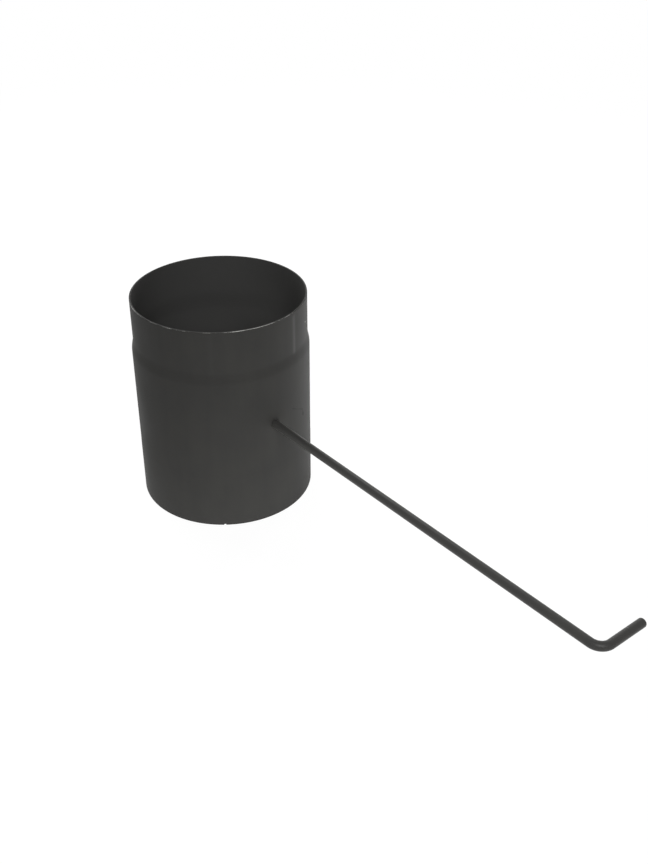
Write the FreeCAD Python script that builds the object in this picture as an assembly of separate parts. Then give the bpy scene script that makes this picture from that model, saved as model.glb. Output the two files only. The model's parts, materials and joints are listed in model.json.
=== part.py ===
import FreeCAD, Part

# Stove pipe damper: a short length of flue pipe with a round plate that a bent control rod turns.
# All sizes are in millimetres. The pipe stands on its plain end, with the origin at the centre of
# that end and +Z up its axis towards the spigot. The rod lies along X with its handle towards +X,
# and the handle's short leg points along +Y. The plate is drawn shut, flat across the pipe.

import math
import os

Vector = FreeCAD.Vector
X_AXIS = Vector(1, 0, 0)
Y_AXIS = Vector(0, 1, 0)
Z_AXIS = Vector(0, 0, 1)

# Pipe
pipe_outside_diameter = 130.0
wall_thickness = 1.2
pipe_height = 160.0
spigot_length = 31.0
shoulder_length = 10.0
socket_depth = 41.0
socket_growth = 0.1
socket_taper_length = 5.0
spigot_clearance = 0.3

# Nick in the lower edge of the pipe
nick_angle = -37.0
nick_width = 1.5
nick_height = 0.9

# Control rod
rod_diameter = 6.0
rod_height = 80.0
rod_running_clearance = 0.1
handle_reach = 295.0
leg_length = 36.0
bend_radius = 8.0
far_stub = 8.0
rod_end_chamfer = 0.5

# Plate
plate_edge_gap = 2.3
plate_thickness = 1.5
vent_diameter = 36.0
vent_rim_margin = 7.5

# Saddle clamps, and the seat that they and the plate give the rod
clamp_thickness = 1.5
clamp_width = 12.0
clamp_edge_margin = 27.5
clamp_foot_margin = 5.5
clamp_corner_radius = 2.5
rod_seat_clearance = 0.03
sheet_bend_radius = 1.5

# Screws and nuts
screw_diameter = 4.0
screw_hole_clearance = 0.2
hexagon_across_flats = 7.0
screw_head_height = 2.8
nut_height = 3.2
thread_gap = 0.03
screw_tail = 1.8
screw_point_chamfer = 0.4
spanner_room = 0.6

# Radii that follow from the pipe's sizes
pipe_radius = pipe_outside_diameter / 2
bore_radius = pipe_radius - wall_thickness
socket_radius = bore_radius + socket_growth
spigot_radius = socket_radius - spigot_clearance
spigot_base = pipe_height - spigot_length
shoulder_base = spigot_base - shoulder_length

# Places that follow from the rod's sizes
rod_radius = rod_diameter / 2
leg_x = pipe_radius + handle_reach
far_end_x = -(pipe_radius + far_stub)
rod_seat_radius = rod_radius + rod_seat_clearance

# Places that follow from the plate's and the clamps' sizes
plate_radius = bore_radius - plate_edge_gap
vent_radius = vent_diameter / 2
vent_offset = plate_radius - vent_rim_margin - vent_radius
clamp_offset = plate_radius - clamp_edge_margin
screw_radius = screw_diameter / 2
screw_hole_radius = screw_radius + screw_hole_clearance
hexagon_corner_radius = hexagon_across_flats / math.sqrt(3)


def bend_tangent_offset(thickness):
    """Distance from the rod's axis to where a sheet that wraps the rod has turned flat again."""
    reach = rod_seat_radius + thickness + sheet_bend_radius
    rise = thickness + sheet_bend_radius
    return math.sqrt(reach ** 2 - rise ** 2)


widest_bend = max(bend_tangent_offset(clamp_thickness), bend_tangent_offset(plate_thickness))
screw_offset = widest_bend + hexagon_corner_radius + spanner_room
clamp_foot_reach = screw_offset + clamp_foot_margin
screw_places = [
    (side_x * clamp_offset, side_y * screw_offset)
    for side_x in (1, -1)
    for side_y in (1, -1)
]


def line(start, end):
    return Part.makeLine(start, end)


def arc(start, middle, end):
    return Part.Arc(start, middle, end).toShape()


def wall_line(inset):
    """Edges up one face of the pipe's wall, in the XZ plane, that far inside the outer face."""
    socket_x = socket_radius + wall_thickness - inset
    body_x = pipe_radius - inset
    spigot_x = spigot_radius - inset
    points = [
        Vector(socket_x, 0, 0),
        Vector(socket_x, 0, socket_depth),
        Vector(body_x, 0, socket_depth + socket_taper_length),
        Vector(body_x, 0, shoulder_base),
        Vector(spigot_x, 0, spigot_base),
        Vector(spigot_x, 0, pipe_height),
    ]
    return [line(below, above) for below, above in zip(points, points[1:])]


def pipe_body():
    """Rolled tube with a sized plain end below, a swaged spigot above and a rod hole each side."""
    outside = wall_line(0)
    inside = wall_line(wall_thickness)
    lower_rim = line(inside[0].Vertexes[0].Point, outside[0].Vertexes[0].Point)
    upper_rim = line(outside[-1].Vertexes[-1].Point, inside[-1].Vertexes[-1].Point)
    outline = Part.Wire(Part.__sortEdges__(outside + inside + [lower_rim, upper_rim]))
    tube = Part.Face(outline).revolve(Vector(), Z_AXIS, 360)

    rod_hole = Part.makeCylinder(
        rod_radius + rod_running_clearance,
        4 * pipe_radius,
        Vector(-2 * pipe_radius, 0, rod_height),
        X_AXIS,
    )
    nick_radius = nick_width / 2
    nick = Part.makeCylinder(
        nick_radius,
        2 * wall_thickness + pipe_radius,
        Vector(0, 0, nick_height - nick_radius),
        X_AXIS,
    )
    nick.rotate(Vector(), Z_AXIS, nick_angle)
    return tube.cut([rod_hole, nick])


def control_rod():
    """Round bar from the far stub straight through the pipe, then square round into the leg."""
    bend_x = leg_x - bend_radius
    centre_line = Vector(far_end_x, 0, rod_height)
    bend_foot = Vector(bend_x, 0, rod_height)
    bend_end = Vector(leg_x, bend_radius, rod_height)
    bend_centre = Vector(bend_x, bend_radius, rod_height)

    shaft = Part.makeCylinder(rod_radius, bend_x - far_end_x, centre_line, X_AXIS)
    section = Part.Face(Part.Wire(Part.makeCircle(rod_radius, bend_foot, X_AXIS)))
    bend = section.revolve(bend_centre, Z_AXIS, 90)
    leg = Part.makeCylinder(rod_radius, leg_length - bend_radius, bend_end, Y_AXIS)
    rod = shaft.fuse([bend, leg]).removeSplitter()

    far_edge = [edge for edge in rod.Edges if abs(edge.BoundBox.XMax - far_end_x) < 1e-6]
    tip_edge = [edge for edge in rod.Edges if abs(edge.BoundBox.YMin - leg_length) < 1e-6]
    return rod.makeChamfer(min(rod_end_chamfer, 0.4 * rod_radius), far_edge + tip_edge)


def saddle_face(thickness, foot_reach, side):
    """Section of a sheet bent round half of the rod, with a flat foot each way at the rod's axis.

    The sheet wraps the rod on the upper side of the foot plane for side 1, and below it for -1.
    Each foot joins the wrap through a bend that is tangent to both.
    """
    bend_y = bend_tangent_offset(thickness)
    bend_z = thickness + sheet_bend_radius
    lean = math.atan2(bend_z, bend_y)
    half_way_round = 1.25 * math.pi + lean / 2
    outer_radius = rod_seat_radius + thickness

    def point(hand, y, z):
        return Vector(0, hand * y, rod_height + side * z)

    def on_wrap(hand, radius):
        return point(hand, radius * math.cos(lean), radius * math.sin(lean))

    def on_bend(hand, radius):
        across = bend_y + radius * math.cos(half_way_round)
        up = bend_z + radius * math.sin(half_way_round)
        return point(hand, across, up)

    edges = []
    for hand in (1, -1):
        foot_top = point(hand, bend_y, thickness)
        foot_top_end = point(hand, foot_reach, thickness)
        foot_under_end = point(hand, foot_reach, 0)
        foot_under = point(hand, bend_y, 0)
        hollow = on_bend(hand, sheet_bend_radius)
        crown = on_bend(hand, sheet_bend_radius + thickness)
        edges += [
            arc(on_wrap(hand, outer_radius), hollow, foot_top),
            line(foot_top, foot_top_end),
            line(foot_top_end, foot_under_end),
            line(foot_under_end, foot_under),
            arc(foot_under, crown, on_wrap(hand, rod_seat_radius)),
        ]
    for radius in (rod_seat_radius, outer_radius):
        edges.append(arc(on_wrap(1, radius), point(1, 0, radius), on_wrap(-1, radius)))
    return Part.Face(Part.Wire(Part.__sortEdges__(edges)))


def upright_hole(x, y, radius):
    """A cutter that passes through the plate and whatever lies on it."""
    depth = 2 * plate_radius
    return Part.makeCylinder(radius, depth, Vector(x, y, rod_height - depth / 2))


def damper_plate():
    """Round plate with a half-round channel pressed across it for the rod, and two draught holes."""
    sheet = saddle_face(plate_thickness, plate_radius + plate_thickness, -1)
    sheet = sheet.extrude(Vector(2 * plate_radius, 0, 0))
    sheet.translate(Vector(-plate_radius, 0, 0))
    plate = sheet.common(upright_hole(0, 0, plate_radius))
    vents = [upright_hole(0, side * vent_offset, vent_radius) for side in (1, -1)]
    screw_holes = [upright_hole(x, y, screw_hole_radius) for x, y in screw_places]
    return plate.cut(vents + screw_holes)


def saddle_clamp(centre_x):
    """Strap bent over the rod, with a screwed foot each side."""
    strap = saddle_face(clamp_thickness, clamp_foot_reach, 1).extrude(Vector(clamp_width, 0, 0))
    strap.translate(Vector(centre_x - clamp_width / 2, 0, 0))
    corners = [
        edge
        for edge in strap.Edges
        if abs(abs(edge.CenterOfMass.y) - clamp_foot_reach) < 1e-6 and edge.BoundBox.XLength < 1e-6
    ]
    strap = strap.makeFillet(min(clamp_corner_radius, 0.4 * clamp_width), corners)
    holes = [upright_hole(centre_x, side * screw_offset, screw_hole_radius) for side in (1, -1)]
    return strap.cut(holes)


def hexagon(height):
    """Hexagonal block standing on the XY plane, with two of its corners on the X axis."""
    corners = []
    for step in range(7):
        angle = math.radians(60 * step)
        corners.append(Vector(math.cos(angle), math.sin(angle), 0) * hexagon_corner_radius)
    return Part.Face(Part.makePolygon(corners)).extrude(Vector(0, 0, height))


def clamp_screw(x, y):
    """Hexagon-head screw down through a clamp's foot and the plate."""
    head_base = rod_height + clamp_thickness
    length = clamp_thickness + plate_thickness + nut_height + screw_tail
    head = hexagon(screw_head_height)
    shank = Part.makeCylinder(screw_radius, length, Vector(0, 0, -length))
    point = [edge for edge in shank.Edges if abs(edge.BoundBox.ZMax + length) < 1e-6]
    shank = shank.makeChamfer(screw_point_chamfer, point)
    screw = head.fuse(shank)
    screw.translate(Vector(x, y, head_base))
    return screw


def clamp_nut(x, y):
    """Hexagon nut up against the plate's underside."""
    bore = Part.makeCylinder(screw_radius + thread_gap, nut_height)
    nut = hexagon(nut_height).cut(bore)
    nut.translate(Vector(x, y, rod_height - plate_thickness - nut_height))
    return nut


nodes = {
    "pipe_body": pipe_body(),
    "control_rod": control_rod(),
    "damper_plate": damper_plate(),
    "near_saddle_clamp": saddle_clamp(clamp_offset),
    "far_saddle_clamp": saddle_clamp(-clamp_offset),
    "clamp_screws": Part.makeCompound([clamp_screw(x, y) for x, y in screw_places]),
    "clamp_nuts": Part.makeCompound([clamp_nut(x, y) for x, y in screw_places]),
}

os.makedirs("parts", exist_ok=True)
for name, shape in nodes.items():
    shape.exportStep(f"parts/{name}.step")
    print(f"{name}: {len(shape.Solids)} solid, {shape.Volume:.1f} mm3, valid {shape.isValid()}")
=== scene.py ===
# %% [markdown]
# # A stove pipe damper
# A short length of black flue pipe stands on its plain end. A round plate inside it turns on a long
# bent rod and throttles the draught. The construction comes ready from the CAD frame: this lesson
# dresses it, piece by piece, with surfaces worked out in numpy and finishes made of shader nodes.
# The frame is loaded first, because every size and place below is read from it or set against it.

# %% Load the frame
import json
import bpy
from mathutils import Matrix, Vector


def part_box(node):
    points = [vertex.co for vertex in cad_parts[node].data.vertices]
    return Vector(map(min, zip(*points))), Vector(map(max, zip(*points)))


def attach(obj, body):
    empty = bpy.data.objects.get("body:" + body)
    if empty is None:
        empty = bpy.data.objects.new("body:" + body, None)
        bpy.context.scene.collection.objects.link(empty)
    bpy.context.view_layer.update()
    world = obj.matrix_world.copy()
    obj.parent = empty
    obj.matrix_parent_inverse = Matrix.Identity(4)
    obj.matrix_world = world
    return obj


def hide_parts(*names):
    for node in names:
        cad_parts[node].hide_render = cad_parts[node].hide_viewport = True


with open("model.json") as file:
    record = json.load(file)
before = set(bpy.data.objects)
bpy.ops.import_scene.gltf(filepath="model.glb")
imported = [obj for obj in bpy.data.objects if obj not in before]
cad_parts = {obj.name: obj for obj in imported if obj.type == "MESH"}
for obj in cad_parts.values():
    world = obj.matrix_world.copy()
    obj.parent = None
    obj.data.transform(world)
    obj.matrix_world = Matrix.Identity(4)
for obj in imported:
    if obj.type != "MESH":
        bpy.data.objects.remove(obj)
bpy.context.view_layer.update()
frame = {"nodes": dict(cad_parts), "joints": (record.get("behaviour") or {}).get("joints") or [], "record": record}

from types import SimpleNamespace

import bpy
import numpy as np
from mathutils import Vector

MM = 0.001
mounts = {mount["name"]: mount["dims"] for mount in frame["record"]["mounts"]}
rod_height = frame["joints"][0]["pos_m"][2] / MM


def node_box(name):
    """Lowest and highest corner of a CAD node, in millimetres."""
    low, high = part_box(name)
    return np.array(low) / MM, np.array(high) / MM


print("nodes:", ", ".join(sorted(frame["nodes"])))
print("the rod's axis lies", round(rod_height, 2), "mm above the pipe's lower edge")

# %% [markdown]
# ## From arrays to meshes
# A surface that is a function of two parameters is a lattice of points: rows along one parameter and
# columns along the other. Blender wants a list of points and a list of faces, so one helper turns a
# lattice of point numbers into four-cornered faces, and another puts whole arrays into a mesh with
# foreach_set, which is far quicker than adding faces one at a time. Shapes are worked out in
# millimetres and become metres only as they go into the mesh.

# %% Faces of a lattice


def numbered(shape, start=0):
    """Point numbers of a lattice (rows, columns), counted row by row from a start."""
    return start + np.arange(shape[0] * shape[1]).reshape(shape)


def quads(index):
    """Faces of a lattice of point numbers: each cell's corners, along the row first."""
    corners = [index[:-1, :-1], index[:-1, 1:], index[1:, 1:], index[1:, :-1]]
    return np.stack(corners, -1).reshape(-1, 4)


def ring_closed(index):
    """The lattice with its first column repeated after its last, so that every row is a ring."""
    return np.concatenate([index, index[:, :1]], 1)


def fan(centre, ring):
    """Triangles from one centre point to each side of a closed ring."""
    return np.stack([np.full(len(ring), centre), ring, np.roll(ring, -1)], 1)


print("3 rows of 4 points make", len(quads(numbered((3, 4)))), "faces")

# %% Arrays into a mesh


def add_piece(name, points, faces, body, node, attributes=None):
    """A mesh object of these points (mm) and face arrays that rides on a body for a CAD node."""
    used, numbers = np.unique(np.concatenate([part.ravel() for part in faces]), return_inverse=True)
    sides = np.concatenate([np.full(len(part), part.shape[1]) for part in faces])
    mesh = bpy.data.meshes.new(name)
    mesh.vertices.add(len(used))
    mesh.vertices.foreach_set("co", (points[used] * MM).ravel())
    mesh.loops.add(len(numbers))
    mesh.loops.foreach_set("vertex_index", numbers.astype(np.int32))
    mesh.polygons.add(len(sides))
    mesh.polygons.foreach_set("loop_start", (np.cumsum(sides) - sides).astype(np.int32))
    mesh.update(calc_edges=True)
    mesh.validate()
    mesh.shade_smooth()
    for label, values in (attributes or {}).items():
        layer = mesh.attributes.new(label, "FLOAT", "POINT")
        layer.data.foreach_set("value", values[used].astype(np.float32))
    piece = bpy.data.objects.new(name, mesh)
    bpy.context.scene.collection.objects.link(piece)
    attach(piece, body)
    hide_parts(node)
    print(name, "has", len(used), "points and", int(np.sum(sides - 2)), "triangles")
    return piece


# %% [markdown]
# ## The pipe's wall
# The real pipe is sheet steel rolled into a tube and welded, then pressed inwards at the top by a
# ring of jaws, which leaves a reduced spigot to push into the next length. A lathe-like profile
# turned about the axis gives all of that. The profile is a closed loop: up the outer face, over the
# sheared rim, down the inner face and back under the lower rim, so the sheet has its true thickness.

# %% Sizes of the pipe
pipe_high = node_box("pipe_body")[1]
pipe_height = pipe_high[2]
socket_radius = pipe_high[0]
socket_bore = mounts["plain_end_socket"]["r_mm"]
socket_depth = mounts["plain_end_socket"]["length_mm"]
socket_growth, socket_taper = 0.1, 5.0
socket_end = socket_depth + socket_taper
wall = socket_radius - socket_bore
body_radius = socket_radius - socket_growth
spigot_radius = mounts["spigot"]["r_mm"]
spigot_base = pipe_height - mounts["spigot"]["length_mm"]
shoulder_length, inner_soften = 10.0, 4.0
shoulder_base = spigot_base - shoulder_length
print("wall", round(wall, 3), "mm, body radius", round(body_radius, 3), "mm")

# %% Faces and rims of the pipe
rim_round, corner_steps = 0.35, 6


def smooth_step(value, start, end):
    """0 up to start, 1 from end on, and 3t^2 - 2t^3 of the share t of the way between them."""
    share = np.clip((value - start) / (end - start), 0, 1)
    return share * share * (3 - 2 * share)


def outer_radius(height, soften=0.0):
    """The body's radius, plus the sizing of the plain end, less the swage of the spigot.

    The swage may be softened by starting lower and ending higher, as it is on the inner face.
    """
    sizing = socket_growth * (1 - smooth_step(height, socket_depth, socket_end))
    share = smooth_step(height, shoulder_base - soften, spigot_base + soften)
    return body_radius + sizing - (body_radius - spigot_radius) * share


def rim_corner(radius, height, start):
    """A quarter circle of the rim's rounding about a point, from a start angle in degrees."""
    angle = np.radians(start + np.linspace(0, 90, corner_steps))
    return np.stack([radius + rim_round * np.cos(angle), height + rim_round * np.sin(angle)], 1)


print("the swage takes", round(body_radius - outer_radius(pipe_height), 3), "mm off the radius")

# %% [markdown]
# ## Levels and columns
# A plain cylinder needs few rows, but a bend or an edge needs many. So the rows are close together in
# the swage, at the rims and in the band that holds the rod's holes, and wide apart elsewhere. The
# columns are one a degree, with finer ones at the small nick in the lower edge, at the faint upright
# ridges that the swaging jaws leave between them, and at the weld down the back.

# %% Rows of the pipe
hole_half_band, hole_band_steps = 6.8, 12
hole_levels = rod_height + np.linspace(-hole_half_band, hole_half_band, hole_band_steps + 1)
rim_fade = np.array([0.6, 1.0, 1.6, 2.6, 4.0])
swage_start, swage_end = shoulder_base - inner_soften, spigot_base + inner_soften
levels = np.unique(np.round(np.concatenate([
    rim_fade,
    np.linspace(rim_fade[-1], socket_depth, 6),
    np.linspace(socket_depth, socket_end, 7),
    np.linspace(socket_end, hole_levels[0], 4),
    hole_levels,
    np.linspace(hole_levels[-1], swage_start, 5),
    np.linspace(swage_start, swage_end, 37),
    np.linspace(swage_end, pipe_height - rim_fade[-1], 5),
    pipe_height - rim_fade,
]), 6))
print(len(levels), "levels on each face")

# %% Columns of the pipe
nick_angle, nick_width, nick_height = -37.0, 1.5, 0.9
jaw_count, ridge_angle, ridge_height, ridge_width = 6, 20.0, 0.1, 1.6
weld_angle, weld_height, weld_half = 152.0, 0.1, 1.6
first_angle, column_step = -90.0, 1.0
fine_steps = np.linspace(-3, 3, 25)
jaw_pitch = 360.0 / jaw_count
upright_lines = np.append(ridge_angle + jaw_pitch * np.arange(jaw_count), weld_angle)
upright_lines = (upright_lines - first_angle) % 360 + first_angle
angles = np.unique(np.round(np.concatenate([
    np.arange(first_angle, first_angle + 360, column_step),
    nick_angle + fine_steps / 2,
    (upright_lines[:, None] + fine_steps).ravel(),
]), 4))
print(len(angles), "columns round the pipe")

# %% Section of the wall


def pipe_profile():
    """The closed section of the wall as (radius, height), and 1 for points of its inner half."""
    outer = np.stack([outer_radius(levels), levels], 1)
    inner = np.stack([outer_radius(levels[::-1], inner_soften) - wall, levels[::-1]], 1)
    top, low = pipe_height - rim_round, rim_round
    section = np.concatenate([
        outer,
        rim_corner(spigot_radius - rim_round, top, 0),
        rim_corner(spigot_radius - wall + rim_round, top, 90),
        inner,
        rim_corner(socket_bore + rim_round, low, 180),
        rim_corner(socket_radius - rim_round, low, 270),
    ])
    inside = np.ones(len(section))
    inside[:len(levels) + corner_steps] = 0
    inside[-corner_steps:] = 0
    return section, inside


print("the section is a loop of", len(pipe_profile()[0]), "points")

# %% [markdown]
# ## The rod's holes
# Two plain holes are drilled through the wall for the rod. A lattice has no place for a round hole,
# so a block of its cells is left out and a ring-shaped lattice fills the gap: its first ring is the
# block's own border on the outer face, the rings shrink to the hole's circle, pass through the wall
# and widen again to the block's border on the inner face. A boolean cut would leave long thin faces
# that shade badly on a curved wall, while these rings flow from square to round.

# %% Block of a lattice


def nearest(values, wanted):
    """Number of the entry that is closest to a wanted value."""
    return int(np.argmin(np.abs(values - wanted)))


def nearest_pair(values, middle, margin):
    """Numbers of the entries closest to a margin below and above a middle value."""
    return nearest(values, middle - margin), nearest(values, middle + margin)


def block_border(index, low_row, high_row, left, right):
    """Point numbers round a block of the lattice, anticlockwise as seen from outside the pipe."""
    step = 1 if high_row > low_row else -1
    return np.concatenate([
        index[low_row, left:right],
        index[low_row:high_row:step, right],
        index[high_row, right:left:-1],
        index[high_row:low_row:-step, left],
    ])


print("2 by 2 cells have a border of", len(block_border(numbered((3, 3)), 0, 2, 0, 2)), "points")

# %% Lattice of one hole
hole_radius = 3.1
lip_round, lip_steps = 0.18, 5
flat_rings, ring_crowding = 8, 1.5


def hole_rings(points, outer_border, inner_border, centre):
    """Points on the rings between the two borders of a hole at an angle (radians) round the pipe.

    In the flat (u, v) view along the hole's axis, each ring is a mix of a border and a circle. Its
    depth is 0 on the outer face and 1 on the inner, and it lies sqrt(r^2 - u^2) out, with r less by
    the depth times the wall. The points' distance from the hole's edge and their depth come too.
    """
    along = np.array([-np.sin(centre), np.cos(centre), 0])
    outwards = np.array([np.cos(centre), np.sin(centre), 0])

    def flat(border):
        """A border's points in the flat view."""
        return np.stack([points[border] @ along, points[border][:, 2] - rod_height], 1)

    outer, inner = flat(outer_border), flat(inner_border)
    turn = np.arctan2(outer[:, 1], outer[:, 0])
    circle = np.stack([np.cos(turn), np.sin(turn)], 1)
    left_over = (1 - np.linspace(0, 1, flat_rings + 2)[1:-1]) ** ring_crowding
    lip = np.radians(np.linspace(0, 90, lip_steps))
    lip_out = lip_round * (1 - np.sin(lip))
    lip_deep = lip_round * (1 - np.cos(lip)) / wall
    on_flat = np.full(flat_rings, lip_round)
    widen = np.concatenate([on_flat, lip_out, lip_out[::-1], on_flat])
    depth = np.concatenate([0 * on_flat, lip_deep, 1 - lip_deep[::-1], 0 * on_flat + 1])
    from_outer = np.concatenate([left_over, np.zeros(2 * lip_steps + flat_rings)])
    from_inner = from_outer[::-1]
    round_part = (1 - from_outer - from_inner) * (hole_radius + widen)
    flat_place = from_outer[:, None, None] * outer + from_inner[:, None, None] * inner
    flat_place = flat_place + round_part[:, None, None] * circle
    sideways, upwards = flat_place[..., 0], flat_place[..., 1]
    reach = np.sqrt((body_radius - wall * depth)[:, None] ** 2 - sideways ** 2)
    place = reach[..., None] * outwards + sideways[..., None] * along
    place[..., 2] = rod_height + upwards
    edge = np.hypot(sideways, upwards) - hole_radius
    return place, edge, np.broadcast_to(depth[:, None], edge.shape)


print("each hole is lined with", 2 * (flat_rings + lip_steps), "rings")

# %% [markdown]
# ## Turning the pipe
# Now the profile is carried round the axis in one step, as an outer product of two arrays. Small
# departures from a perfect turning make it a real pipe: the nick in the lower edge, the ridges between
# the jaws' marks on the spigot, and the flattened weld. Four values go on the points for the paint to
# read later: how worn the edge is there, whether it is the inner face, whether it is the weld, and how
# strong the painted highlight along the jaws' lines is.

# %% Upright lines and wear
side_line_share = 0.12
line_foot, line_fade = spigot_base - 1.0, 2.0
# The painted highlight is a lighter stripe along the jaws' lines, strongest on the main one.
painted_highlight_width, painted_highlight_end = 1.8, 3.0
rim_wear_reach, rim_wear_swing = 0.31, 0.2
rim_wear_waves, rim_wear_angle = 4, -8.0


def from_line(line_angle, pitch):
    """Distance in mm round the spigot from upright lines a pitch apart, for every column."""
    turn = (angles - line_angle + pitch / 2) % pitch - pitch / 2
    return np.radians(turn) * spigot_radius


def jaw_lines(width):
    """exp(-(s/w)^2) about each line between two jaws: 1 on the main line, a share on the others."""
    main_line = np.exp(-(from_line(ridge_angle, 360) / width) ** 2)
    all_lines = np.exp(-(from_line(ridge_angle, jaw_pitch) / width) ** 2)
    return side_line_share * all_lines + (1 - side_line_share) * main_line


def rim_wear(turn, height, radius):
    """exp(-d/r) at a distance d from the upper rim's outer corner, with a cosine's swing round it."""
    wear = np.exp(-np.hypot(pipe_height - height, spigot_radius - radius) / rim_wear_reach)
    return wear * (1 + rim_wear_swing * np.cos(rim_wear_waves * (turn - np.radians(rim_wear_angle))))


print("the lines between the jaws start", round(line_foot, 2), "mm up")

# %% Shape of the pipe
nick_fade, weld_start = 3.0, 6.0


def pipe_surface():
    """The profile carried round by every angle, raised at the nick and at ridges and weld.

    A ridge is h exp(-(s/w)^2) at a distance s from its line, and grows in above the swage. The nick
    lifts the lower edge by a flat-topped exp(-s^4) and dies away upwards. The painted highlight
    follows the ridges' lines on the outer face and ends a little below the rim.
    """
    section, inside = pipe_profile()
    turn = np.radians(angles)
    height = np.repeat(section[:, 1:], len(angles), 1)
    nick = nick_height * np.exp(-(2 * from_line(nick_angle, 360) / nick_width) ** 4)
    height = height + nick * np.exp(-height / nick_fade)
    outside = 1 - inside[:, None]
    line_share = smooth_step(height, line_foot - line_fade, line_foot + line_fade)
    weld = np.exp(-(from_line(weld_angle, 360) / weld_half) ** 4) * outside
    radius = section[:, :1] + ridge_height * jaw_lines(ridge_width) * line_share
    radius = radius + weld_height * weld * smooth_step(height, 0, weld_start)
    rub = jaw_lines(painted_highlight_width) * outside * line_share
    rub = rub * smooth_step(pipe_height - height, painted_highlight_end / 2, painted_highlight_end)
    wear = rim_wear(turn, height, radius)
    points = np.stack([radius * np.cos(turn), radius * np.sin(turn), height], -1)
    inside = np.broadcast_to(inside[:, None], height.shape)
    return points.reshape(-1, 3), {"edge_wear": wear, "inner_face": inside, "weld": weld, "rub": rub}


print("the nick in the lower edge is", nick_width, "mm wide and", nick_height, "mm high")

# %% Build the pipe
hole_angles, hole_block_half = (0.0, 180.0), 6.0
lip_wear_share = 0.4


def build_pipe():
    """The turned wall, with each rod hole's block of cells swapped for its ladder of rings."""
    points, values = pipe_surface()
    index = numbered(values["weld"].shape)
    values = {label: value.ravel() for label, value in values.items()}
    kept = np.ones_like(index, bool)
    low, high = nearest_pair(levels, rod_height, hole_half_band)
    inner_top = 2 * len(levels) + 2 * corner_steps - 1
    hole_faces = []
    for centre in hole_angles:
        left, right = nearest_pair(angles, centre, hole_block_half)
        kept[low:high, left:right] = False
        kept[inner_top - high:inner_top - low, left:right] = False
        outer_border = block_border(index, low, high, left, right)
        inner_border = block_border(index, inner_top - low, inner_top - high, left, right)
        place, edge, depth = hole_rings(points, outer_border, inner_border, np.radians(centre))
        numbers = numbered(edge.shape, len(points))
        ladder = np.concatenate([outer_border[None], numbers, inner_border[None]])
        hole_faces.append(quads(ring_closed(ladder)))
        points = np.concatenate([points, place.reshape(-1, 3)])
        lip_wear = lip_wear_share * np.exp(-np.hypot(edge, wall * depth) / rim_wear_reach)
        added = {"edge_wear": lip_wear, "inner_face": depth, "weld": 0 * edge, "rub": 0 * edge}
        values = {label: np.append(values[label], added[label]) for label in values}
    closed = ring_closed(np.concatenate([index, index[:1]]))
    faces = [quads(closed)[kept.ravel()]] + hole_faces
    return add_piece("pipe_wall", points, faces, "pipe", "pipe_body", values)


pipe_wall = build_pipe()

# %% [markdown]
# ## The control rod
# The rod is one length of round bar, cut off square, with a right-angle bend near its end for a
# handle. A circle carried along a path makes it. The path has a straight run, a quarter turn and the
# short leg, and one running length along it drives all three, so there are no joins to hide. Near
# the two ends the circle shrinks along a quarter round, as a cut end does when its burr is filed off.

# %% Path of the rod
rod_low, rod_high = node_box("control_rod")
rod_radius, bend_radius, end_round = 3.0, 8.0, 1.2
far_end, leg_tip = rod_low[0], rod_high[1]
leg_x = rod_high[0] - rod_radius
straight_run = leg_x - bend_radius - far_end
bend_run = bend_radius * np.pi / 2
rod_length = straight_run + bend_run + leg_tip - bend_radius


def rod_path(run):
    """Centre and direction at a length along the rod: straight on, round the bend, up the leg."""
    bend = np.clip((run - straight_run) / bend_radius, 0, np.pi / 2)
    x = far_end + np.minimum(run, straight_run) + bend_radius * np.sin(bend)
    y = bend_radius * (1 - np.cos(bend)) + np.maximum(run - straight_run - bend_run, 0)
    centre = np.stack([x, y, np.full_like(run, rod_height)], 1)
    direction = np.stack([np.cos(bend), np.sin(bend), np.zeros_like(run)], 1)
    return centre, direction


print("the rod is", round(rod_length, 1), "mm long before it is bent")

# %% Build the rod
end_rings, straight_rings, bend_rings, leg_rings = 9, 60, 49, 12
rod_turn_step = 6.0
rod_turn = np.radians(np.arange(0, 360, rod_turn_step))


def build_rod():
    """Circles of the bar's radius on the path, square to its direction, with rounded ends."""
    curl = np.radians(np.linspace(0, 90, end_rings))
    end_run = end_round * (1 - np.cos(curl))
    end_size = rod_radius - end_round + end_round * np.sin(curl)
    middle = np.concatenate([
        np.linspace(end_round, straight_run, straight_rings)[1:],
        straight_run + np.linspace(0, bend_run, bend_rings)[1:],
        np.linspace(straight_run + bend_run, rod_length - end_round, leg_rings)[1:-1],
    ])
    run = np.concatenate([end_run, middle, rod_length - end_run[::-1]])
    size = np.concatenate([end_size, np.full(len(middle), rod_radius), end_size[::-1]])
    centre, direction = rod_path(run)
    sideways = np.stack([direction[:, 1], -direction[:, 0], np.zeros(len(run))], 1)
    upwards = np.array([0, 0, 1.0])
    ring = np.cos(rod_turn)[:, None] * sideways[:, None] + np.sin(rod_turn)[:, None] * upwards
    points = (centre[:, None] + size[:, None, None] * ring).reshape(-1, 3)
    index = numbered((len(run), len(rod_turn)))
    first, last = len(points), len(points) + 1
    points = np.concatenate([points, centre[:1], centre[-1:]])
    faces = [quads(ring_closed(index)), fan(first, index[0][::-1]), fan(last, index[-1])]
    return add_piece("rod_bar", points, faces, "damper", "control_rod")


rod_bar = build_rod()

# %% [markdown]
# ## Sheet that wraps the rod
# Inside the pipe the rod lies in a half-round channel pressed across the plate, and two bent straps
# hold it down. Plate and strap are the same kind of thing: sheet metal whose section wraps half of the
# rod and turns flat again each way. So one middle line serves both, made of arcs that are tangent to
# each other. The sheet is that line carried along the rod, and a Solidify modifier gives it its
# thickness evenly on both sides, with a small Bevel for the sheared edges.

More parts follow.
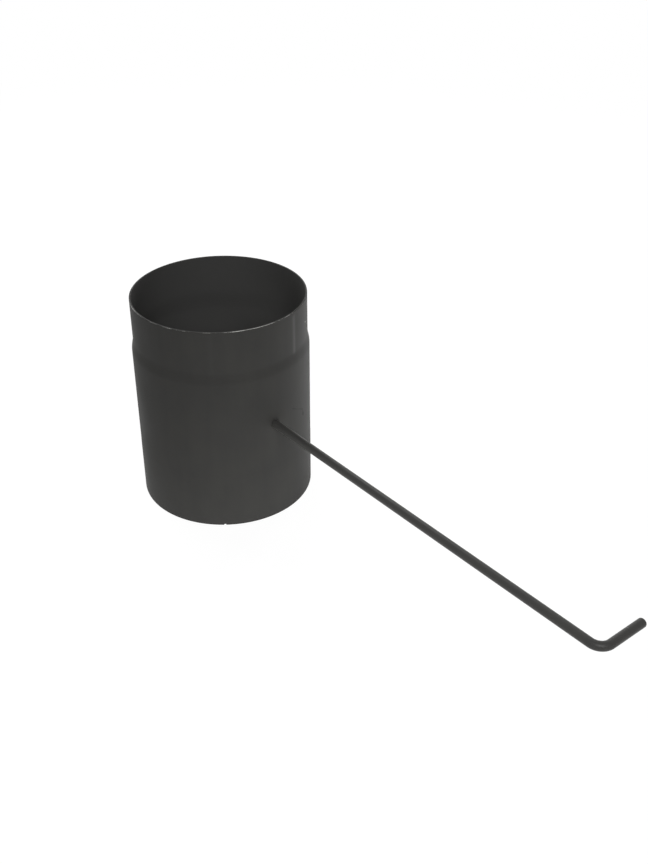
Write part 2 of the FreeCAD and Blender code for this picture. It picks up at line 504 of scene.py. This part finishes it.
# %% Middle line of a wrapped sheet
sheet, sheet_bend, seat_gap = 1.5, 1.5, 0.03
wrap_rows, fold_rows = 12, 8
seat_radius = rod_radius + seat_gap
bend_z = sheet + sheet_bend
bend_y = np.sqrt((seat_radius + sheet + sheet_bend) ** 2 - bend_z ** 2)
lean = np.arctan2(bend_z, bend_y)


def saddle_line(side):
    """Rows of (y, z) round the rod: a wrap about its axis, then a bend each way to a flat foot.

    The wrap spans from the rod's crown to the lean, the angle at which the bend's own circle touches
    it. side is 1 for a sheet over the rod and -1 for one under it.
    """
    wrap = np.linspace(np.pi / 2, lean, wrap_rows)
    fold = np.linspace(np.pi + lean, 1.5 * np.pi, fold_rows)[1:]
    wrap_radius, fold_radius = seat_radius + sheet / 2, sheet_bend + sheet / 2
    y = np.concatenate([wrap_radius * np.cos(wrap), bend_y + fold_radius * np.cos(fold)])
    z = np.concatenate([wrap_radius * np.sin(wrap), bend_z + fold_radius * np.sin(fold)])
    y, z = np.concatenate([-y[:0:-1], y]), np.concatenate([z[:0:-1], z])
    return np.stack([y, rod_height + side * z], 1)


def with_feet(line, offsets):
    """The line with flat rows added each way at the given distances from the rod's axis."""
    level = np.full(len(offsets), line[-1, 1])
    foot = np.stack([offsets, level], 1)
    return np.concatenate([foot[::-1] * [-1, 1], line, foot])


print("the sheet leaves the rod", round(np.degrees(lean), 1), "degrees from level")

# %% Sheet with round holes
sheet_rings = 6


def bent_sheet(rows, half_width, across, centre_x, holes):
    """Points and faces of a sheet: each row runs along x to its half width, at its own y and z.

    A hole (x, y, radius, margin) replaces the block of cells within its margin by rings that lead
    from the block's border to the hole's circle.
    """
    x = centre_x + half_width[:, None] * across
    y, z = np.broadcast_to(rows[:, :1], x.shape), np.broadcast_to(rows[:, 1:], x.shape)
    points, faces = np.stack([x, y, z], -1).reshape(-1, 3), []
    index = numbered(x.shape)
    kept = np.ones((len(rows) - 1, len(across) - 1), bool)
    for hole_x, hole_y, radius, margin in holes:
        low, high = nearest_pair(rows[:, 0], hole_y, margin)
        left, right = nearest_pair(x[nearest(rows[:, 0], hole_y)], hole_x, margin)
        kept[low:high, left:right] = False
        border = block_border(index, low, high, left, right)
        flat = points[border] - [hole_x, hole_y, 0]
        turn = np.arctan2(flat[:, 1], flat[:, 0])
        circle = np.stack([radius * np.cos(turn), radius * np.sin(turn), flat[:, 2]], 1)
        share = np.linspace(0, 1, sheet_rings + 1)[1:, None, None]
        rings = (1 - share) * flat + share * circle + [hole_x, hole_y, 0]
        numbers = numbered(rings.shape[:2], len(points))
        faces.append(quads(ring_closed(np.concatenate([border[None], numbers]))))
        points = np.concatenate([points, rings.reshape(-1, 3)])
    return points, [quads(index)[kept.ravel()]] + faces


print("each hole in a sheet has", sheet_rings, "rings round it")

# %% [markdown]
# ## The plate and its straps
# The plate is a disc, so each of its rows is a chord: its half length is sqrt(r^2 - y^2). Two large
# draught holes keep some gas moving when the plate is shut. The straps are short lengths of strip with
# rounded corners: their half width shrinks along a quarter circle at the ends.

# %% Sizes of the plate and straps
plate_low, plate_high = node_box("damper_plate")
strap_low, strap_high = node_box("near_saddle_clamp")
plate_radius = (plate_high[0] - plate_low[0]) / 2
strap_x = (strap_high[0] + strap_low[0]) / 2
strap_half = (strap_high[0] - strap_low[0]) / 2
foot_reach, strap_corner = strap_high[1], 2.5
screw_hole, screw_margin = 2.2, 5.5
screw_y = foot_reach - screw_margin
vent_radius, vent_margin = 18.0, 7.5
vent_y = plate_radius - vent_margin - vent_radius
screw_places = [(end * strap_x, side * screw_y) for end in (1, -1) for side in (1, -1)]
print("plate radius", round(plate_radius, 2), "mm, straps", round(2 * strap_half, 2), "mm wide")

# %% Thickness of the sheets
edge_angle, edge_segments = 50, 3


def thicken(piece, edge_round):
    """Gives a sheet its thickness, half to each side, and rounds its sheared edges."""
    solid = piece.modifiers.new("thickness", "SOLIDIFY")
    solid.thickness = sheet * MM
    solid.offset = 0.0
    bevel = piece.modifiers.new("edges", "BEVEL")
    bevel.width = edge_round * MM
    bevel.segments = edge_segments
    bevel.limit_method = "ANGLE"
    bevel.angle_limit = np.radians(edge_angle)
    bevel.harden_normals = True
    print(piece.name, "is", sheet, "mm thick")


print("edges sharper than", edge_angle, "degrees are rounded in", edge_segments, "steps")

# %% Build the plate
vent_room, screw_room = 2.5, 3.6
plate_columns, foot_rows, vent_rows, rim_rows = 121, 12, 40, 16
last_chord, plate_edge = 89.2, 0.25


def build_plate():
    """Chords of a circle, close together over the channel, with two vents and four screw holes."""
    vent_end = np.degrees(np.arcsin((vent_y + vent_radius + vent_room) / plate_radius))
    offsets = np.concatenate([
        np.linspace(bend_y, screw_y + screw_room, foot_rows)[1:],
        np.linspace(vent_y - vent_radius - vent_room, vent_y + vent_radius + vent_room, vent_rows),
        plate_radius * np.sin(np.radians(np.linspace(vent_end, last_chord, rim_rows)[1:])),
    ])
    rows = with_feet(saddle_line(-1), offsets)
    half_width = np.sqrt(plate_radius ** 2 - rows[:, 0] ** 2)
    holes = [(0, side * vent_y, vent_radius, vent_radius + vent_room) for side in (1, -1)]
    holes += [(x, y, screw_hole, screw_room) for x, y in screw_places]
    points, faces = bent_sheet(rows, half_width, np.linspace(-1, 1, plate_columns), 0.0, holes)
    piece = add_piece("draught_plate", points, faces, "damper", "damper_plate")
    thicken(piece, plate_edge)
    return piece


draught_plate = build_plate()

# %% Build the straps
strap_room, strap_columns, strap_rows, corner_rows = 3.2, 25, 12, 8
last_corner, strap_edge = 85, 0.2


def build_strap(name, node, centre_x):
    """Strip of even width over the rod, with its four corners rounded and a screw hole each side."""
    curl = np.radians(np.linspace(0, last_corner, corner_rows))
    offsets = np.concatenate([
        np.linspace(bend_y, foot_reach - strap_corner, strap_rows)[1:],
        foot_reach - strap_corner * (1 - np.sin(curl[1:])),
    ])
    rows = with_feet(saddle_line(1), offsets)
    into_corner = np.maximum(np.abs(rows[:, 0]) - (foot_reach - strap_corner), 0)
    half_width = strap_half - strap_corner + np.sqrt(strap_corner ** 2 - into_corner ** 2)
    holes = [(centre_x, side * screw_y, screw_hole, strap_room) for side in (1, -1)]
    across = np.linspace(-1, 1, strap_columns)
    points, faces = bent_sheet(rows, half_width, across, centre_x, holes)
    piece = add_piece(name, points, faces, "damper", node)
    thicken(piece, strap_edge)
    return piece


near_strap = build_strap("near_strap", "near_saddle_clamp", strap_x)
far_strap = build_strap("far_strap", "far_saddle_clamp", -strap_x)

# %% [markdown]
# ## Screws and nuts
# A hexagon is also a turned shape if its radius may change with the angle: the flat's distance
# divided by the cosine of the angle from the flat's middle. The corners are turned off by a cone, and
# the smaller of the two radii gives the curved edge that every bolt head has. The thread is a radius
# that falls and rises once in each pitch and is shifted by one pitch in each turn.

# %% Turned hexagons
flat_half, head_height, nut_height = 3.5, 2.8, 3.2
cone_start, cone_angle = 0.97, 30
bolt_turn_step, end_reach, end_rows = 5.0, 0.7, 9
bolt_turn = np.radians(np.arange(0, 360, bolt_turn_step))
end_depth = np.linspace(0, end_reach, end_rows)


def hexagon_radius(turn):
    """Distance to a hexagon's side at each angle, with a corner at angle 0."""
    return flat_half / np.cos(turn % (np.pi / 3) - np.pi / 6)


def hexagon_end():
    """Rows of radii from an end face inwards: the smaller of the hexagon and the cone at each depth."""
    cone = cone_start * flat_half + end_depth / np.tan(np.radians(cone_angle))
    return np.minimum(hexagon_radius(bolt_turn), cone[:, None])


def turned_rows(radius, height):
    """Points of rows of radii (one for each angle) at the given heights, about the z axis."""
    z = np.broadcast_to(height[:, None], radius.shape)
    return np.stack([radius * np.cos(bolt_turn), radius * np.sin(bolt_turn), z], -1)


print("the hexagons are", round(2 * hexagon_radius(0.0), 2), "mm over their corners")

# %% Sections of screw and nut
screw_radius, screw_tail, screw_point = 2.0, 1.8, 0.5
thread_pitch, thread_depth, thread_rows = 0.7, 0.36, 70
bore_radius, bore_mouth, bore_chamfer = 2.05, 2.45, 0.4
shank = 2 * sheet + nut_height + screw_tail


def screw_rows():
    """Radii and heights down a screw from the rim of its head's top face, z = 0 under the head."""
    head = hexagon_end()
    head = np.concatenate([head, head[-1:], np.full((1, len(bolt_turn)), screw_radius)])
    head_z = np.concatenate([head_height - end_depth, [0.0, 0.0]])
    thread_z = -np.linspace(2 * sheet, shank, thread_rows)
    wave = np.abs(((thread_z[:, None] / thread_pitch - bolt_turn / (2 * np.pi)) % 1) * 2 - 1)
    point = np.minimum(1.0, (thread_z + shank)[:, None] / screw_point)
    thread = screw_radius - thread_depth * np.maximum(wave, 1 - point)
    return np.concatenate([head, thread]), np.concatenate([head_z, thread_z])


def nut_rows():
    """Radii and heights round a nut's section, up the outside and down the bore, as a closed loop."""
    end = hexagon_end()
    bore = np.array([[bore_mouth], [bore_radius], [bore_radius], [bore_mouth]])
    bore_z = [nut_height, nut_height - bore_chamfer, bore_chamfer, 0]
    radius = np.concatenate([end, end[::-1], np.repeat(bore, len(bolt_turn), 1)])
    height = np.concatenate([end_depth, nut_height - end_depth[::-1], bore_z])
    return radius, height


print("the screws are", round(shank, 2), "mm long under the head")

# %% Build the screws and nuts
crease_angle = 28


def at_screws(points, faces, base):
    """One fastener's points and faces repeated at the four screws, from a base height (mm)."""
    copies = [points + np.array([x, y, base]) for x, y in screw_places]
    starts = len(points) * np.arange(len(copies))
    return np.concatenate(copies), [part + start for start in starts for part in faces]


def build_screws():
    """The screw's rows as rings, with a fan over the head and one over the point."""
    rows = turned_rows(*screw_rows())
    index = numbered(rows.shape[:2])
    top, tip = index.size, index.size + 1
    points = np.concatenate([rows.reshape(-1, 3), [[0, 0, head_height], [0, 0, rows[-1, 0, 2]]]])
    faces = [quads(ring_closed(index))[:, ::-1], fan(top, index[0]), fan(tip, index[-1][::-1])]
    points, faces = at_screws(points, faces, rod_height + sheet)
    return add_piece("strap_screws", points, faces, "damper", "clamp_screws")


def build_nuts():
    """The nut's loop of rows as rings, closed from its last row to its first."""
    rows = turned_rows(*nut_rows())
    index = numbered(rows.shape[:2])
    loop = quads(ring_closed(np.concatenate([index, index[:1]])))
    points, faces = at_screws(rows.reshape(-1, 3), [loop], rod_height - sheet - nut_height)
    return add_piece("strap_nuts", points, faces, "damper", "clamp_nuts")


strap_screws = build_screws()
strap_nuts = build_nuts()
for fasteners in (strap_screws, strap_nuts):
    fasteners.data.set_sharp_from_angle(angle=np.radians(crease_angle))

# %% [markdown]
# ## Finishes
# A finish is a small tree of shader nodes on the object's own coordinates, so it stays with the piece
# in any pose and needs no picture. One helper fills in a node's sockets: a plain value is set on the
# socket, and another node's output is linked to it. The others each add a node or two and hand on an
# output, so that a finish reads like a sum.

# %% Node helpers


def fill(tree, node, values):
    """Sets or links sockets of a node, by name or number."""
    for socket, value in values.items():
        if isinstance(value, bpy.types.NodeSocket):
            tree.links.new(value, node.inputs[socket])
        else:
            node.inputs[socket].default_value = value


def add_node(tree, kind, values, **settings):
    """Outputs of a new node of a kind, with its settings chosen and its sockets filled."""
    node = tree.nodes.new(kind)
    for setting, choice in settings.items():
        setattr(node, setting, choice)
    fill(tree, node, values)
    return node.outputs


def start_finish(name):
    """A material with its node tree, its shader and the coordinates that its patterns read."""
    material = bpy.data.materials.new(name)
    material.use_nodes = True
    tree = material.node_tree
    place = add_node(tree, "ShaderNodeTexCoord", {})["Object"]
    shader = tree.nodes["Principled BSDF"]
    return SimpleNamespace(material=material, tree=tree, shader=shader, place=place)


# %% Pattern helpers


def noise(tree, place, size, detail, stretch=(1, 1, 1)):
    """Cloudy pattern whose patches are about size millimetres across, longer where stretch is."""
    scale = [1 / (size * MM * part) for part in stretch]
    sized = add_node(tree, "ShaderNodeMapping", {"Vector": place, "Scale": scale})[0]
    values = {"Vector": sized, "Scale": 1.0, "Detail": detail}
    return add_node(tree, "ShaderNodeTexNoise", values)["Fac"]


def spread(tree, value, low, high, to_low=0.0, to_high=1.0):
    """A value moved from one range to another, smoothly, and held at its ends."""
    values = {0: value, 1: low, 2: high, 3: to_low, 4: to_high}
    return add_node(tree, "ShaderNodeMapRange", values, interpolation_type="SMOOTHSTEP")[0]


def combine(tree, operation, first, second, third=0.0):
    """Values put together by an operation such as ADD, MULTIPLY or MULTIPLY_ADD."""
    values = {0: first, 1: second, 2: third}
    return add_node(tree, "ShaderNodeMath", values, operation=operation)[0]


def blend_colour(tree, amount, first, second):
    """First colour where the amount is 0, second where it is 1."""
    values = {0: amount, 6: first, 7: second}
    return add_node(tree, "ShaderNodeMix", values, data_type="RGBA")[2]


def relief(tree, height, depth, below=None):
    """Bump of a pattern, depth in millimetres from its dark to its light parts."""
    values = {"Strength": 1.0, "Distance": depth * MM, "Height": height}
    if below is not None:
        values["Normal"] = below
    return add_node(tree, "ShaderNodeBump", values)[0]


# %% [markdown]
# ## Heat-resistant paint
# Stove pipe is sprayed with a matte charcoal paint that stands heat. Close up it is faintly sandy,
# with soft clouds where the spray was thicker and faint runs where it sagged. A flat grey would look
# like plastic, so noises of different size make the clouds, the runs and the sand. Rod and plate wear
# the same paint with another gloss.

# %% Paint
cloud_share, tone_swing = 0.7, 0.06
rough_swing, cloud_depth = 0.05, 0.02
# Noise seldom leaves the middle of 0 to 1, so these ranges of it are spread to the full swing.
tone_ends, noise_ends = (0.33, 0.67), (0.3, 0.7)


def grey(level, warmth=0.0):
    """A nearly neutral colour: less blue by the warmth, and less green by a fifth of it."""
    return (level, level * (1 - warmth / 5), level * (1 - warmth), 1)


def heat_paint(name, level, gloss, rough, sand_depth):
    """Matte charcoal paint of a grey level: clouds and faint runs in its tone, sand in its relief."""
    paint = start_finish(name)
    tree, place = paint.tree, paint.place
    cloud = noise(tree, place, size=30, detail=4)
    runs = noise(tree, place, size=8, detail=3, stretch=(1, 1, 8))
    sand = noise(tree, place, size=0.55, detail=2)
    clouds = combine(tree, "MULTIPLY", cloud, cloud_share)
    tone = combine(tree, "ADD", clouds, combine(tree, "MULTIPLY", runs, 1 - cloud_share))
    dark = grey(level * (1 - tone_swing), warmth=0.05)
    light = grey(level * (1 + tone_swing), warmth=0.07)
    paint.colour = blend_colour(tree, spread(tree, tone, *tone_ends), dark, light)
    paint.bump = relief(tree, cloud, cloud_depth, relief(tree, sand, sand_depth))
    roughness = spread(tree, cloud, *noise_ends, rough - rough_swing, rough + rough_swing)
    fill(tree, paint.shader, {"Base Color": paint.colour, "Roughness": roughness})
    fill(tree, paint.shader, {"Normal": paint.bump, "Specular IOR Level": gloss})
    return paint


def give_finish(material, *pieces):
    """Gives pieces a material as their only one."""
    for piece in pieces:
        piece.data.materials.clear()
        piece.data.materials.append(material)
        print(piece.name, "wears", material.name, "with", len(material.node_tree.nodes), "nodes")


rod_paint = heat_paint("rod_paint_finish", level=0.053, gloss=0.18, rough=0.4, sand_depth=0.002)
plate_paint = heat_paint("plate_paint_finish", level=0.055, gloss=0.15, rough=0.6, sand_depth=0.005)
give_finish(rod_paint.material, rod_bar)
give_finish(plate_paint.material, draught_plate)

# %% [markdown]
# ## Wear and painted light on the pipe
# Paint goes first where it is thinnest. Along the sheared rim it flakes off to bright steel, a knock on
# the spigot has left a small chip, and a fine scratch runs beside the rod. Light is painted in as well:
# a lighter stripe along the jaws' ridges is a painted highlight, and the inner face is painted lighter
# for the light that reaches into the pipe. Such marks are often painted on a picture. Here the values on
# the pipe's points say where rim, ridges, weld and inner face are, and a single mark is a soft-edged
# line between two places on the wall, so everything keeps its place from every side.

# %% Single marks
mark_core = 0.4
chip_ends, chip_width = [(38.7, 142.9), (39.3, 142.5)], 0.6
# Each scratch has two ends (angle in degrees, height in mm), a width in mm and a strength.
scratches = [
    ((15.5, 84.9), (27.6, 77.4), 0.6, 0.45),
    ((27.6, 77.4), (28.7, 73.0), 0.6, 0.45),
    ((28.6, 73.4), (28.8, 72.2), 1.4, 0.8),
]


def on_wall(angle, height, radius):
    """A place on the wall, in metres, from its angle (degrees), height and radius (mm)."""
    turn = np.radians(angle)
    return Vector((radius * np.cos(turn), radius * np.sin(turn), height)) * MM


def vector_sum(tree, operation, values):
    """Outputs of vectors put together by an operation such as SUBTRACT or DISTANCE."""
    return add_node(tree, "ShaderNodeVectorMath", values, operation=operation)


def mark(tree, place, ends, radius, width):
    """1 on the straight line between two places on the wall, fading to 0 at a width (mm) from it.

    The share of the way along is the dot product with the line over its squared length, held between
    0 and 1, and the distance is taken to the place at that share.
    """
    start, end = (on_wall(angle, height, radius) for angle, height in ends)
    along = end - start
    from_start = vector_sum(tree, "SUBTRACT", {0: place, 1: start})[0]
    way = vector_sum(tree, "DOT_PRODUCT", {0: from_start, 1: along / along.length_squared})["Value"]
    share = combine(tree, "MINIMUM", combine(tree, "MAXIMUM", way, 0.0), 1.0)
    on_line = vector_sum(tree, "SCALE", {0: along, "Scale": share})[0]
    distance = vector_sum(tree, "DISTANCE", {0: from_start, 1: on_line})["Value"]
    return spread(tree, distance, width * MM, mark_core * width * MM)


print("one chip and", len(scratches), "strokes of a scratch are placed on the wall")

# %% Bare steel and weld
patch_swing, flake_swing, bare_ends = 0.8, 0.4, (0.5, 0.7)
# A wave texture of scale 1 repeats about every 0.31 units.
wave_unit, ripple_pitch = 0.31, 1.4


def carried(tree, label):
    """A value that the piece's own points carry."""
    return add_node(tree, "ShaderNodeAttribute", {}, attribute_name=label)["Fac"]


def bare_steel(tree, place):
    """1 where the paint is off: the edges' wear, stirred by two noises about 0, and the chip."""
    patches = noise(tree, place, size=10, detail=2)
    flakes = noise(tree, place, size=1.0, detail=2)
    patches = combine(tree, "MULTIPLY_ADD", patches, patch_swing, -patch_swing / 2)
    flakes = combine(tree, "MULTIPLY_ADD", flakes, flake_swing, -flake_swing / 2)
    wear = combine(tree, "ADD", carried(tree, "edge_wear"), combine(tree, "ADD", patches, flakes))
    chip = mark(tree, place, chip_ends, spigot_radius, chip_width)
    return spread(tree, combine(tree, "ADD", wear, chip), *bare_ends)


def weld_ripple(tree, place):
    """Ripples up the weld: a wave along z, times the value that marks the weld."""
    values = {"Vector": place, "Scale": wave_unit / (ripple_pitch * MM), "Distortion": 1.5}
    wave = add_node(tree, "ShaderNodeTexWave", values, bands_direction="Z")["Fac"]
    return combine(tree, "MULTIPLY", wave, carried(tree, "weld"))


print("the weld ripples every", ripple_pitch, "mm")

# %% Worn paint
inner_share, inner_painted_light_lift, painted_highlight_lift, scratch_share = 0.8, 2.0, 1.5, 0.4
steel_level, ripple_depth = 0.36, 0.05


def worn_pipe_paint(name, level, gloss, rough, sand_depth):
    """Heat paint with scratches, bare steel, a rippled weld, and painted light inside and on the ridges."""
    paint = heat_paint(name, level, gloss, rough, sand_depth)
    tree, place = paint.tree, paint.place
    # The inner face is painted lighter: painted light that stands in for the light reaching into the pipe.
    inside_painted_light = combine(tree, "MULTIPLY", carried(tree, "inner_face"), inner_share)
    colour = blend_colour(tree, inside_painted_light, paint.colour, grey(level * inner_painted_light_lift, warmth=0.03))
    # A lighter stripe along the jaws' ridge lines: a painted highlight.
    colour = blend_colour(tree, carried(tree, "rub"), colour, grey(level * painted_highlight_lift, warmth=0.05))
    for start, end, width, strength in scratches:
        line = mark(tree, place, [start, end], body_radius, width)
        line = combine(tree, "MULTIPLY", line, strength)
        colour = blend_colour(tree, line, colour, grey(level * scratch_share))
    metal = bare_steel(tree, place)
    colour = blend_colour(tree, metal, colour, grey(steel_level, warmth=0.04))
    bump = relief(tree, weld_ripple(tree, place), ripple_depth, paint.bump)
    fill(tree, paint.shader, {"Base Color": colour, "Metallic": metal, "Normal": bump})
    return paint


pipe_paint = worn_pipe_paint("pipe_paint_finish", level=0.04, gloss=0.07, rough=0.6, sand_depth=0.005)
give_finish(pipe_paint.material, pipe_wall)

# %% [markdown]
# ## Plain steel
# The straps are cut from rolled strip, so they have fine lines along their length, and the fasteners
# are plated, with a soft mottled sheen. Both are metal, so the colour is that of their reflection and
# most of the look is in the roughness.

# %% Steel
dark_share, light_share = 0.8, 1.15
steel_rough_swing, grain_depth = 0.1, 0.006


def steel(name, level, warmth, rough, grain, stretch):
    """Bare metal with cloudy tone, and a grain of a size (mm) that is stretched into fine lines."""
    metal = start_finish(name)
    tree, place = metal.tree, metal.place
    cloud = noise(tree, place, size=6, detail=3)
    lines = noise(tree, place, size=grain, detail=2, stretch=stretch)
    dark, light = grey(level * dark_share, warmth), grey(level * light_share, warmth / 2)
    low, high = rough - steel_rough_swing, rough + steel_rough_swing
    colour = blend_colour(tree, cloud, dark, light)
    roughness = spread(tree, lines, *noise_ends, low, high)
    fill(tree, metal.shader, {"Base Color": colour, "Roughness": roughness, "Metallic": 1.0})
    fill(tree, metal.shader, {"Normal": relief(tree, lines, grain_depth)})
    return metal.material


strap_steel = steel("strap_steel_finish", level=0.34, warmth=0.05, rough=0.42,
                    grain=0.25, stretch=(1, 14, 14))
plated_steel = steel("plated_steel_finish", level=0.5, warmth=0.08, rough=0.34,
                     grain=0.5, stretch=(1, 1, 1))
give_finish(strap_steel, near_strap, far_strap)
give_finish(plated_steel, strap_screws, strap_nuts)

# %% [markdown]
# ## Camera
# The camera stands where a camera fitted to the pipe's rim, edges and rod stands, in front of the pipe
# and above it. A long lens further off would flatten the rim's ellipse, so place and lens belong
# together.

# %% Camera
camera_place = Vector((607.6, -393.2, 504.0)) * MM
camera_direction = Vector((-0.6542, 0.5280, -0.5414))
focal_length, sensor_width, farthest = 46.053, 36.0, 100.0
camera = bpy.data.objects.new("camera", bpy.data.cameras.new("camera"))
camera.data.lens = focal_length
camera.data.sensor_width = sensor_width
camera.data.clip_end = farthest
camera.location = camera_place
camera.rotation_euler = camera_direction.to_track_quat("-Z", "Y").to_euler()
bpy.context.scene.collection.objects.link(camera)
bpy.context.scene.camera = camera
print("the camera stands", round(camera_place.xy.length, 3), "m from the pipe's axis")

# %% [markdown]
# ## Floor and surround
# The pipe stands on a plain pale sheet. Brighter lamps could wash the background out to white, but they
# would wash out the black paint too. So rays from the camera and from reflections see the sheet and the
# surround as white, while the light that reaches the object comes from the lamps, a dim surround and
# soft bright patches of the sheet. The sheet keeps a share of the object's shadow, which fades away
# from the pipe, so no far edge shows.

# %% White background
patch_core = 0.3


def shown_white(tree):
    """1 for rays that show the background: from the camera, from gloss and through glass."""
    path = add_node(tree, "ShaderNodeLightPath", {})
    first = combine(tree, "MAXIMUM", path["Is Camera Ray"], path["Is Glossy Ray"])
    return combine(tree, "MAXIMUM", first, path["Is Transmission Ray"])


def around(tree, place, centre, reach, level):
    """A level near a place (m), fading from a core, a share of the reach, to nothing at the reach."""
    away = vector_sum(tree, "DISTANCE", {0: place, 1: centre})["Value"]
    return spread(tree, away, patch_core * reach, reach, level, 0.0)


print("a patch of light is even over", patch_core, "of its reach")

# %% Sheet of the floor
sheet_tone = 0.8


def pale_floor(shadow_share, shadow_reach, lit_level, patches):
    """A white sheet that keeps a share of the object's shadow, and is clear from below.

    Rays that show the background see a share of the sheet's lit face, and as much glow as brings an
    unshadowed place to white. Rays that light the object see the whole lit face and the patches of
    glow beside the pipe (place, reach, level).
    """
    material = bpy.data.materials.new("pale_floor")
    material.use_nodes = True
    tree = material.node_tree
    tree.nodes.clear()
    shown = shown_white(tree)
    place = add_node(tree, "ShaderNodeTexCoord", {})["Object"]
    bright = 0.0
    for centre, reach, level in patches:
        bright = combine(tree, "ADD", bright, around(tree, place, centre, reach, level))
    share = around(tree, place, (0, 0, 0), shadow_reach, shadow_share)
    white = combine(tree, "MULTIPLY_ADD", share, -lit_level, 1.0)
    strength = spread(tree, shown, 0, 1, bright, white)
    glow = add_node(tree, "ShaderNodeEmission", {"Strength": strength})[0]
    lit_face = add_node(tree, "ShaderNodeBsdfDiffuse", {"Color": grey(sheet_tone)})[0]
    unlit = combine(tree, "MULTIPLY", shown, combine(tree, "SUBTRACT", 1.0, share))
    dimmed = add_node(tree, "ShaderNodeMixShader", {0: unlit, 1: lit_face})[0]
    top = add_node(tree, "ShaderNodeAddShader", {0: dimmed, 1: glow})[0]
    clear = add_node(tree, "ShaderNodeBsdfTransparent", {})[0]
    from_below = add_node(tree, "ShaderNodeNewGeometry", {})["Backfacing"]
    both = add_node(tree, "ShaderNodeMixShader", {0: from_below, 1: top, 2: clear})[0]
    add_node(tree, "ShaderNodeOutputMaterial", {"Surface": both})
    print(material.name, "has", len(tree.nodes), "nodes")
    return material


# %% Floor
floor_half = 15.0
floor_corners = [(-1, -1, 0), (1, -1, 0), (1, 1, 0), (-1, 1, 0)]
floor_mesh = bpy.data.meshes.new("floor")
floor_mesh.from_pydata((floor_half * np.array(floor_corners)).tolist(), [], [(0, 1, 2, 3)])
floor = bpy.data.objects.new("floor", floor_mesh)
# Each patch has a middle (m), a reach (m) and a level.
floor_patches = [
    ((0.1, 0.12, 0), 0.4, 1.45),
    ((-0.05, 0.3, 0), 0.25, 12.5),
    ((0.3, -0.05, 0), 0.35, 0.34),
]
floor_finish = pale_floor(shadow_share=0.16, shadow_reach=1.2, lit_level=0.4, patches=floor_patches)
floor_mesh.materials.append(floor_finish)
bpy.context.scene.collection.objects.link(floor)
print("the floor is", 2 * floor_half, "m wide, with", len(floor_patches), "bright patches")

# %% Surround
surround_level = 0.03
world = bpy.data.worlds.new("studio")
world.use_nodes = True
sky_tree = world.node_tree
sky_level = spread(sky_tree, shown_white(sky_tree), 0, 1, surround_level, 1.0)
fill(sky_tree, sky_tree.nodes["Background"], {"Color": (1, 1, 1, 1), "Strength": sky_level})
bpy.context.scene.world = world
print("the surround lights at", surround_level, "and shows as 1")

# %% [markdown]
# ## Lamps
# Four large soft lamps light the pipe at a plain level: one in front, one high behind, and two low ones
# at the side and the back that lift its edges. Small lamps would draw hard streaks down a round wall.
# The two low ones aren't seen in gloss, so the matte paint shows no picture of them.

# %% Lamps
# Name, heading and lift in degrees, distance and size in m, power in W, and whether gloss shows it.
lamps = [
    ("side_lamp", 112, 10, 3.6, 1.3, 60.0, False),
    ("back_lamp", 185, 20, 1.7, 0.9, 12.0, False),
    ("rear_lamp", 150, 45, 1.7, 0.9, 8.6, True),
    ("front_lamp", -30, 42, 1.7, 0.9, 15.3, True),
]


def soft_lamp(name, heading, lift, distance, size, power, in_gloss):
    """A square soft lamp at a heading and lift (degrees) from the pipe, aimed at its middle."""
    aim = Vector((0, 0, rod_height * MM))
    angle, rise = np.radians(heading), np.radians(lift)
    away = Vector((np.cos(angle) * np.cos(rise), np.sin(angle) * np.cos(rise), np.sin(rise)))
    lamp = bpy.data.objects.new(name, bpy.data.lights.new(name, "AREA"))
    lamp.data.shape = "SQUARE"
    lamp.data.size = size
    lamp.data.energy = power
    lamp.location = aim + away * distance
    lamp.rotation_euler = (-away).to_track_quat("-Z", "Y").to_euler()
    lamp.visible_glossy = in_gloss
    bpy.context.scene.collection.objects.link(lamp)
    print(name, "stands", distance, "m away and gives", power, "W")


for lamp_row in lamps:
    soft_lamp(*lamp_row)

# %% [markdown]
# ## Finish
# Last, colours are shown through the Standard view transform.

# %% View transform
bpy.context.scene.view_settings.view_transform = "Standard"
